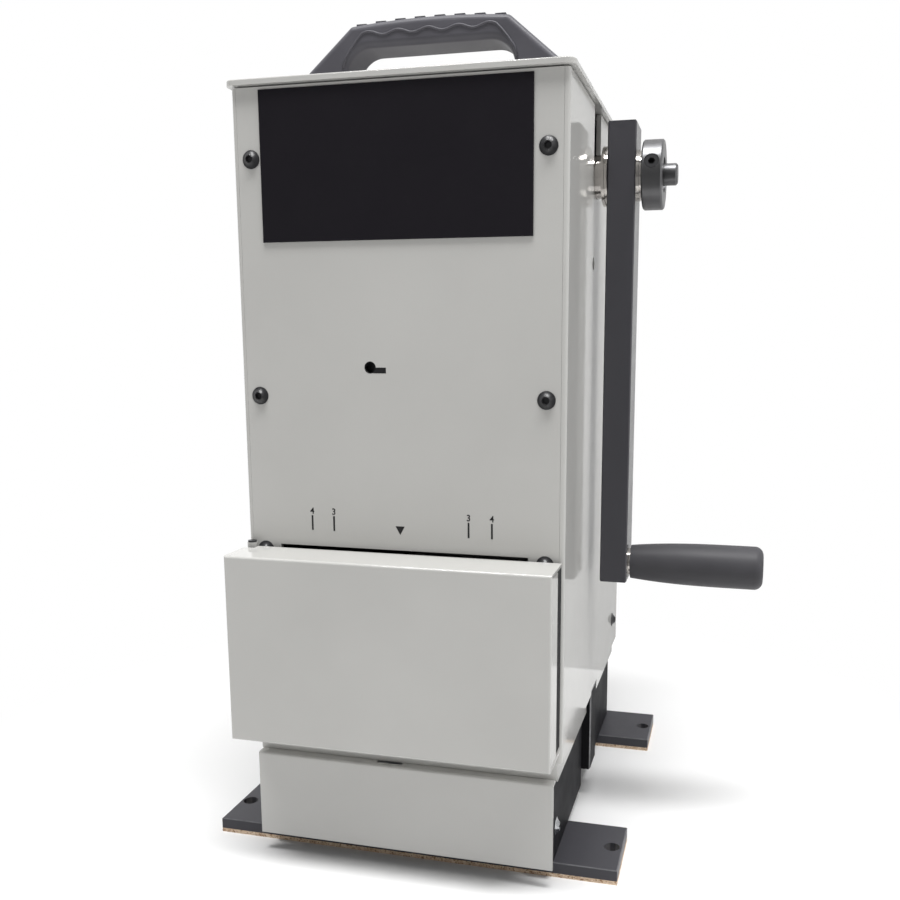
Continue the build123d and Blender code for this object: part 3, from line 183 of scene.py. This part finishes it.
# Cards that only gloss sees, by opposite corners and grey tone
CARDS = {
    "dark_card": ((-6.0, -1.9, 0.0), (3.0, -1.9, 4.0), 0.22),
    "floor_card": ((-6.0, -1.9, 0.002), (3.0, -0.3, 0.002), 0.22),
    "rear_card": ((-0.1, 0.225, 0.0), (3.0, 0.225, 2.6), 0.85),
}

# Floor: what it throws back on the part, how it looks, and where its shadow fades to white
FLOOR_HALF = 6.0
FLOOR_BOUNCE = (0.76, 0.76, 0.76)
FLOOR_SHOWN = (0.96, 0.96, 0.96)
SHADOW_REACH = (0.18, 0.38)


def add_node(tree, kind, **settings):
    """Add a shader node with some of its settings."""
    made = tree.nodes.new(kind)
    for key, value in settings.items():
        setattr(made, key, value)
    return made


def noise(tree, scale, detail=2.0, stretch=(1.0, 1.0, 1.0), roughness=0.5):
    """Noise fixed to the part, in features per metre, drawn out along axes of small stretch."""
    place = add_node(tree, "ShaderNodeTexCoord")
    mapping = add_node(tree, "ShaderNodeMapping")
    mapping.inputs["Scale"].default_value = stretch
    made = add_node(tree, "ShaderNodeTexNoise")
    made.inputs["Scale"].default_value = scale
    made.inputs["Detail"].default_value = detail
    made.inputs["Roughness"].default_value = roughness
    tree.links.new(place.outputs["Object"], mapping.inputs["Vector"])
    tree.links.new(mapping.outputs["Vector"], made.inputs["Vector"])
    return made.outputs["Fac"]


def cells(tree, scale):
    """Voronoi cells fixed to the part, in cells per metre."""
    place = add_node(tree, "ShaderNodeTexCoord")
    made = add_node(tree, "ShaderNodeTexVoronoi")
    made.inputs["Scale"].default_value = scale
    tree.links.new(place.outputs["Object"], made.inputs["Vector"])
    return made


def ramp(tree, factor, *stops):
    """Colour ramp over a factor, from (position, colour) stops."""
    made = add_node(tree, "ShaderNodeValToRGB")
    while len(made.color_ramp.elements) < len(stops):
        made.color_ramp.elements.new(0.5)
    for element, (position, colour) in zip(made.color_ramp.elements, stops):
        element.position = position
        element.color = (*colour, 1.0)
    tree.links.new(factor, made.inputs["Fac"])
    return made.outputs["Color"]


def shade(colour, factor):
    """A colour made lighter or darker."""
    return tuple(channel * factor for channel in colour)


def tones(tree, factor, colour, low, high, ends=NOISE_ENDS):
    """Colour that a noise moves from a low share of it to a high one."""
    return ramp(tree, factor, (ends[0], shade(colour, low)), (ends[1], shade(colour, high)))


def span(tree, factor, low, high):
    """Map the middle of a noise to a range."""
    made = add_node(tree, "ShaderNodeMapRange")
    made.inputs["From Min"].default_value = NOISE_ENDS[0]
    made.inputs["From Max"].default_value = NOISE_ENDS[1]
    made.inputs["To Min"].default_value = low
    made.inputs["To Max"].default_value = high
    tree.links.new(factor, made.inputs["Value"])
    return made.outputs["Result"]


def calculate(tree, operation, first, second):
    """One value worked out from two."""
    made = add_node(tree, "ShaderNodeMath", operation=operation)
    tree.links.new(first, made.inputs[0])
    tree.links.new(second, made.inputs[1])
    return made.outputs["Value"]


def mix(tree, factor, first, second):
    """Go from one colour to another by a factor from 0 to 1."""
    made = add_node(tree, "ShaderNodeMix", data_type="RGBA")
    tree.links.new(factor, made.inputs["Factor"])
    tree.links.new(first, made.inputs["A"])
    tree.links.new(second, made.inputs["B"])
    return made.outputs["Result"]


def multiply(tree, first, second):
    """Multiply two colours."""
    made = add_node(tree, "ShaderNodeMix", data_type="RGBA", blend_type="MULTIPLY")
    made.inputs["Factor"].default_value = 1.0
    tree.links.new(first, made.inputs["A"])
    tree.links.new(second, made.inputs["B"])
    return made.outputs["Result"]


def bump(tree, height, depth, under=None):
    """Bump of a depth in metres, on top of another bump if one is given."""
    made = add_node(tree, "ShaderNodeBump")
    made.inputs["Strength"].default_value = 1.0
    made.inputs["Distance"].default_value = depth
    tree.links.new(height, made.inputs["Height"])
    if under is not None:
        tree.links.new(under, made.inputs["Normal"])
    return made.outputs["Normal"]


def slanted(tree):
    """1 on faces that lean between the part's axes, such as chamfers, and 0 on square ones."""
    place = add_node(tree, "ShaderNodeTexCoord")
    size = add_node(tree, "ShaderNodeVectorMath", operation="ABSOLUTE")
    parts = add_node(tree, "ShaderNodeSeparateXYZ")
    tree.links.new(place.outputs["Normal"], size.inputs[0])
    tree.links.new(size.outputs["Vector"], parts.inputs["Vector"])
    level = calculate(tree, "MAXIMUM", parts.outputs["X"], parts.outputs["Y"])
    most = calculate(tree, "MAXIMUM", level, parts.outputs["Z"])
    made = add_node(tree, "ShaderNodeMapRange")
    made.inputs["From Min"].default_value = SQUARE_FACE
    made.inputs["From Max"].default_value = SLANTED_FACE
    tree.links.new(most, made.inputs["Value"])
    return made.outputs["Result"]


def new_material(name, metallic=0.0, specular=0.5):
    """Start a material and return it with its node tree and shader."""
    material = bpy.data.materials.new(name)
    material.use_nodes = True
    tree = material.node_tree
    shader = tree.nodes["Principled BSDF"]
    shader.inputs["Metallic"].default_value = metallic
    shader.inputs["Specular IOR Level"].default_value = specular
    return material, tree, shader


def finish_with(tree, shader, colour, rough, normal):
    """Link a shader's colour, roughness and normal."""
    tree.links.new(colour, shader.inputs["Base Color"])
    tree.links.new(rough, shader.inputs["Roughness"])
    tree.links.new(normal, shader.inputs["Normal"])


def paint(name, colour, rough, peel, depth, specular=0.5, swing=0.05, edge_wear_and_highlight=None):
    """Sprayed paint: faint drifts, orange-peel skin, uneven gloss and, if given, a painted
    highlight on chamfered edges that is partly worn steel.
    """
    material, tree, shader = new_material(name, specular=specular)
    drift = tones(tree, noise(tree, PAINT_DRIFT, 4.0), colour, *DRIFT_TONES)
    specks = noise(tree, SPECKS_PER_RIPPLE * peel, 1.0)
    tone = multiply(tree, drift, tones(tree, specks, WHITE[:3], *SPECK_TONES))
    # Painted highlight on chamfered faces, partly worn steel, broken into patches by noise
    if edge_wear_and_highlight:
        patches = tones(tree, noise(tree, EDGE_WEAR_AND_HIGHLIGHT_NOISE, 3.0), edge_wear_and_highlight, EDGE_WEAR_AND_HIGHLIGHT_TONE, 1.0)
        tone = mix(tree, slanted(tree), tone, patches)
    gloss = span(tree, noise(tree, PAINT_GLOSS, 3.0), rough - swing, rough + swing)
    finish_with(tree, shader, tone, gloss, bump(tree, noise(tree, peel), depth))
    return material


def brushed(name, colour, rough, stretch, swing=0.08, scale=900.0, depth=0.000008):
    """Bare metal with fine lines along the axes of small stretch."""
    material, tree, shader = new_material(name, metallic=1.0)
    lines = noise(tree, scale, 3.0, stretch)
    stain = tones(tree, noise(tree, METAL_STAIN, 4.0), colour, STAIN_TONE, 1.0)
    gloss = span(tree, lines, rough - swing, rough + swing)
    finish_with(tree, shader, stain, gloss, bump(tree, lines, depth))
    return material


def moulded(name, colour, rough, grain, depth=0.00003, specular=0.4):
    """Moulded piece with a fine pitted grain and slightly rubbed patches."""
    material, tree, shader = new_material(name, specular=specular)
    patches = noise(tree, PLASTIC_RUB, 4.0)
    pits = noise(tree, grain, 3.0, roughness=0.7)
    tone = tones(tree, patches, colour, *RUB_TONES, ends=RUB_ENDS)
    gloss = span(tree, patches, rough - PLASTIC_SWING, rough + PLASTIC_SWING)
    finish_with(tree, shader, tone, gloss, bump(tree, pits, depth))
    return material


def cork_sheet(name):
    """Pressed cork: tan granules with darker bark flecks and open pores."""
    material, tree, shader = new_material(name, specular=0.2)
    granules = cells(tree, CORK_GRAIN)
    tan = ramp(tree, granules.outputs["Color"], *CORK_TANS)
    flecks = ramp(tree, noise(tree, CORK_FLECK, 3.0), *CORK_FLECKS)
    gloss = span(tree, noise(tree, CORK_GLOSS), *CORK_ROUGH)
    pores = bump(tree, granules.outputs["Distance"], CORK_PORE_DEPTH)
    pits = bump(tree, noise(tree, CORK_PIT, 3.0), CORK_PIT_DEPTH, pores)
    finish_with(tree, shader, multiply(tree, tan, flecks), gloss, pits)
    return material


finishes = {"cork": cork_sheet("cork")}
for make, settings_by_name in ((paint, PAINTS), (moulded, PLASTICS), (brushed, METALS)):
    for finish_name, settings in settings_by_name.items():
        finishes[finish_name] = make(finish_name, **settings)

for row in frame["record"]["subparts"]:
    solid_mesh = nodes[row["node"]].data
    solid_mesh.materials.clear()
    solid_mesh.materials.append(finishes[row["material_slot"]])


def new_mesh(name, vertices, faces):
    """Mesh from points and faces that count them."""
    mesh = bpy.data.meshes.new(name)
    mesh.from_pydata(vertices, [], faces)
    mesh.update()
    return mesh


def put(name, data):
    """Put a mesh, curve, lamp or camera in the scene as an object."""
    made = bpy.data.objects.new(name, data)
    bpy.context.scene.collection.objects.link(made)
    return made


def add_piece(name, mesh, body, material):
    """Put a mesh in the scene as a piece that moves with a body."""
    piece = put(name, mesh)
    mesh.materials.append(material)
    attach(piece, body)


def flat_print(name, loops, face_y):
    """Thin ink shapes on a front face, each a loop of (x, z) points, slightly proud of it."""
    vertices = []
    faces = []
    for loop in loops:
        count = len(loop)
        first = len(vertices)
        vertices += [(x, face_y - PRINT_PROUD, z) for x, z in loop]
        vertices += [(x, face_y + PRINT_PROUD, z) for x, z in loop]
        faces.append([first + index for index in range(count)])
        faces.append([first + count + index for index in reversed(range(count))])
        for index in range(count):
            here = first + index
            after = first + (index + 1) % count
            faces.append([after, here, here + count, after + count])
    return new_mesh(name, vertices, faces)


def rectangle(low, high):
    """Corner points of an upright rectangle."""
    return [low, (high[0], low[1]), high, (low[0], high[1])]


def digit(name, character, x, face_y):
    """One plain figure above a mark, as a thin mesh."""
    curve = bpy.data.curves.new(name, "FONT")
    curve.body = character
    curve.align_x = "CENTER"
    curve.size = DIGIT_HEIGHT / DIGIT_SHARE
    curve.extrude = PRINT_PROUD
    curve.offset = DIGIT_WEIGHT
    stand = put(name, curve)
    bpy.context.view_layer.update()
    evaluated = stand.evaluated_get(bpy.context.evaluated_depsgraph_get())
    mesh = bpy.data.meshes.new_from_object(evaluated)
    bpy.data.objects.remove(stand)
    bpy.data.curves.remove(curve)
    upright = Matrix.Rotation(math.radians(90), 4, "X")
    mesh.transform(Matrix.Translation((x, face_y, MARK_TOP + DIGIT_GAP)) @ upright)
    mesh.materials.clear()
    return mesh


def ready_outline(steps=8):
    """Printed bar whose left end follows the rim of the ready window."""
    low, high = READY_BAR_Z
    middle_x, middle_z = WINDOW_AT
    reach = WINDOW_R + WINDOW_WALL
    first = math.asin((high - middle_z) / reach)
    last = math.asin((low - middle_z) / reach)
    turns = [first + (last - first) * index / steps for index in range(steps + 1)]
    rim = [(middle_x + reach * math.cos(turn), middle_z + reach * math.sin(turn)) for turn in turns]
    return rim + [(READY_BAR_END, low), (READY_BAR_END, high)]


def sleeve_mesh(name, centre, radius, wall, front_y, rear_y, steps=32):
    """Thin black sleeve that lines a round hole through the panel, with a small rim on the face."""
    outline = (
        (radius - wall, rear_y),
        (radius - wall, front_y - PRINT_PROUD),
        (radius + wall, front_y - PRINT_PROUD),
        (radius + wall, front_y),
        (radius, front_y),
        (radius, rear_y),
    )
    count = len(outline)
    vertices = []
    faces = []
    for step in range(steps):
        turn = 2 * math.pi * step / steps
        across, up = math.cos(turn), math.sin(turn)
        for reach, y in outline:
            vertices.append((centre[0] + across * reach, y, centre[1] + up * reach))
    for step in range(steps):
        here = step * count
        beside = (step + 1) % steps * count
        for index in range(count):
            after = (index + 1) % count
            faces.append((here + after, beside + after, beside + index, here + index))
    return new_mesh(name, vertices, faces)


panel_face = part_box("front_panel")[0].y
panel_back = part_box("front_panel")[1].y
half_mark = MARK_WIDTH / 2
prints = {
    "width_marks": [
        rectangle((x - half_mark, MARK_BOTTOM), (x + half_mark, MARK_TOP)) for x in MARK_X
    ],
    "centre_pointer": [
        [(-POINTER_HALF, POINTER_TOP), (0.0, POINTER_TIP), (POINTER_HALF, POINTER_TOP)]
    ],
    "ready_bar": [ready_outline()],
}
ink = finishes["print_ink"]
for name, loops in prints.items():
    add_piece(name, flat_print(name, loops, panel_face), "frame", ink)
sleeve = sleeve_mesh("window_sleeve", WINDOW_AT, WINDOW_R, WINDOW_WALL, panel_face, panel_back)
add_piece("window_sleeve", sleeve, "frame", finishes["rubber"])
for place, character in zip(MARK_X, MARK_FIGURES):
    label = f"mark_{character}_{'left' if place < 0 else 'right'}"
    add_piece(label, digit(label, character, place, panel_face), "frame", ink)


def wave_path(steps=96):
    """Points of the bead from the left leg over the wave to the right leg."""
    wave = []
    for index in range(steps + 1):
        x = WAVE_HALF * (2 * index / steps - 1)
        wave.append((x, WAVE_MIDDLE + WAVE_SWING * math.cos(2 * math.pi * x / WAVE_LENGTH)))
    left = [(-x, z) for x, z in reversed(LEG_PATH)]
    return left + wave + list(LEG_PATH)


def bead_mesh(name, path, radius, face_y, ring=8):
    """Round bead along (x, z) points, half sunk in an upright face."""
    vertices = []
    faces = []
    for index, (x, z) in enumerate(path):
        before = path[max(index - 1, 0)]
        after = path[min(index + 1, len(path) - 1)]
        along = Vector((after[0] - before[0], 0.0, after[1] - before[1])).normalized()
        across = Vector((along.z, 0.0, -along.x))
        for step in range(ring):
            turn = 2 * math.pi * step / ring
            offset = across * math.cos(turn) * radius
            vertices.append((x + offset.x, face_y + math.sin(turn) * radius, z + offset.z))
    for index in range(len(path) - 1):
        for step in range(ring):
            near = index * ring
            turned = (step + 1) % ring
            faces.append((near + step, near + turned, near + ring + turned, near + ring + step))
    last = (len(path) - 1) * ring
    faces.append(tuple(reversed(range(ring))))
    faces.append(tuple(range(last, last + ring)))
    mesh = new_mesh(name, vertices, faces)
    mesh.shade_smooth()
    return mesh


handle_low, handle_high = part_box("carry_handle")
for name, face_y in (("handle_bead_front", handle_low.y), ("handle_bead_rear", handle_high.y)):
    bead = bead_mesh(name, wave_path(), BEAD_R, face_y)
    add_piece(name, bead, "frame", finishes["handle_plastic"])


def add_camera():
    """Camera at the photograph's viewpoint."""
    forward = Vector(
        (
            -math.sin(CAMERA_YAW) * math.cos(CAMERA_PITCH),
            math.cos(CAMERA_YAW) * math.cos(CAMERA_PITCH),
            -math.sin(CAMERA_PITCH),
        )
    )
    level = forward.cross(Vector((0, 0, 1))).normalized()
    upright = level.cross(forward)
    right = level * math.cos(CAMERA_ROLL) + upright * math.sin(CAMERA_ROLL)
    up = upright * math.cos(CAMERA_ROLL) - level * math.sin(CAMERA_ROLL)
    turned = Matrix((right, up, -forward)).transposed().to_4x4()
    camera = put("camera", bpy.data.cameras.new("camera"))
    camera.matrix_world = Matrix.Translation(CAMERA_AT) @ turned
    camera.data.sensor_width = CAMERA_SENSOR
    camera.data.lens = CAMERA_LENS
    camera.data.shift_x, camera.data.shift_y = CAMERA_SHIFT
    camera.data.clip_start = CAMERA_NEAR
    bpy.context.scene.camera = camera


def add_softbox(name, at, target, size, power, mirrored=True):
    """Large soft lamp aimed at a point, seen in glossy surfaces or not."""
    lamp = bpy.data.lights.new(name, "AREA")
    lamp.shape = "RECTANGLE"
    lamp.size, lamp.size_y = size
    lamp.energy = power
    stand = put(name, lamp)
    stand.location = at
    aim = Vector(target) - Vector(at)
    stand.rotation_euler = aim.to_track_quat("-Z", "Y").to_euler()
    stand.visible_glossy = mirrored


def add_sheet(name, low, high):
    """Flat rectangle between opposite corners, with a matt material to finish."""
    corners = [low, (high[0], low[1], low[2]), high, (low[0], high[1], high[2])]
    sheet = put(name, new_mesh(name, corners, [[0, 1, 2, 3]]))
    material, tree, shader = new_material(name, specular=0.0)
    shader.inputs["Roughness"].default_value = 1.0
    sheet.data.materials.append(material)
    return sheet, tree, shader


def hang_card(name, low, high, tone):
    """Grey studio card that only glossy surfaces see, for contrast in metal and gloss paint."""
    card, tree, shader = add_sheet(name, low, high)
    card.visible_camera = False
    card.visible_diffuse = False
    card.visible_shadow = False
    card.visible_transmission = False
    grey = tones(tree, noise(tree, STAGE_CLOUD), (tone,) * 3, CARD_TONE, 1.0)
    tree.links.new(grey, shader.inputs["Base Color"])


def seen_directly(tree):
    """1 for rays that look at the backdrop: from the camera, off gloss or through glass."""
    path = add_node(tree, "ShaderNodeLightPath")
    either = calculate(
        tree, "MAXIMUM", path.outputs["Is Camera Ray"], path.outputs["Is Glossy Ray"]
    )
    return calculate(tree, "MAXIMUM", either, path.outputs["Is Transmission Ray"])


def plain_light(light, strength):
    """Set a background or emission node to white of a strength."""
    light.inputs["Color"].default_value = WHITE
    light.inputs["Strength"].default_value = strength


def show_either(tree, factor, first, second, output):
    """Show one shader or the other by a factor from 0 to 1."""
    made = add_node(tree, "ShaderNodeMixShader")
    tree.links.new(factor, made.inputs["Fac"])
    tree.links.new(first, made.inputs[1])
    tree.links.new(second, made.inputs[2])
    tree.links.new(made.outputs["Shader"], tree.nodes[output].inputs["Surface"])


def light_world(strength):
    """Even pale light all round, with a white backdrop for what sees it directly."""
    world = bpy.data.worlds.new("studio")
    world.use_nodes = True
    bpy.context.scene.world = world
    tree = world.node_tree
    fill = tree.nodes["Background"]
    plain_light(fill, strength)
    white = add_node(tree, "ShaderNodeBackground")
    plain_light(white, 1.0)
    sides = fill.outputs["Background"], white.outputs["Background"]
    show_either(tree, seen_directly(tree), *sides, "World Output")


def lay_floor():
    """Pale floor that keeps the part's shadow and fades to plain white away from it."""
    low, high = (-FLOOR_HALF, -FLOOR_HALF, 0.0), (FLOOR_HALF, FLOOR_HALF, 0.0)
    floor, tree, shader = add_sheet("floor", low, high)
    directly = seen_directly(tree)
    cloud = noise(tree, STAGE_CLOUD)
    thrown = tones(tree, cloud, FLOOR_BOUNCE, *FLOOR_TONES)
    shown = tones(tree, cloud, FLOOR_SHOWN, *FLOOR_TONES)
    tree.links.new(mix(tree, directly, thrown, shown), shader.inputs["Base Color"])
    place = add_node(tree, "ShaderNodeTexCoord")
    reach = add_node(tree, "ShaderNodeVectorMath", operation="LENGTH")
    tree.links.new(place.outputs["Object"], reach.inputs[0])
    fade = add_node(tree, "ShaderNodeMapRange", interpolation_type="SMOOTHSTEP")
    fade.inputs["From Min"].default_value = SHADOW_REACH[0]
    fade.inputs["From Max"].default_value = SHADOW_REACH[1]
    tree.links.new(reach.outputs["Value"], fade.inputs["Value"])
    faded = calculate(tree, "MULTIPLY", fade.outputs["Result"], directly)
    white = add_node(tree, "ShaderNodeEmission")
    plain_light(white, 1.0)
    sides = shader.outputs["BSDF"], white.outputs["Emission"]
    show_either(tree, faded, *sides, "Material Output")


add_camera()
light_world(WORLD_FILL)
add_softbox("top_softbox", **TOP_LAMP)
add_softbox("right_softbox", **RIGHT_LAMP, mirrored=False)
for card_name, (card_low, card_high, card_tone) in CARDS.items():
    hang_card(card_name, card_low, card_high, card_tone)
lay_floor()

bpy.context.scene.view_settings.view_transform = "Standard"
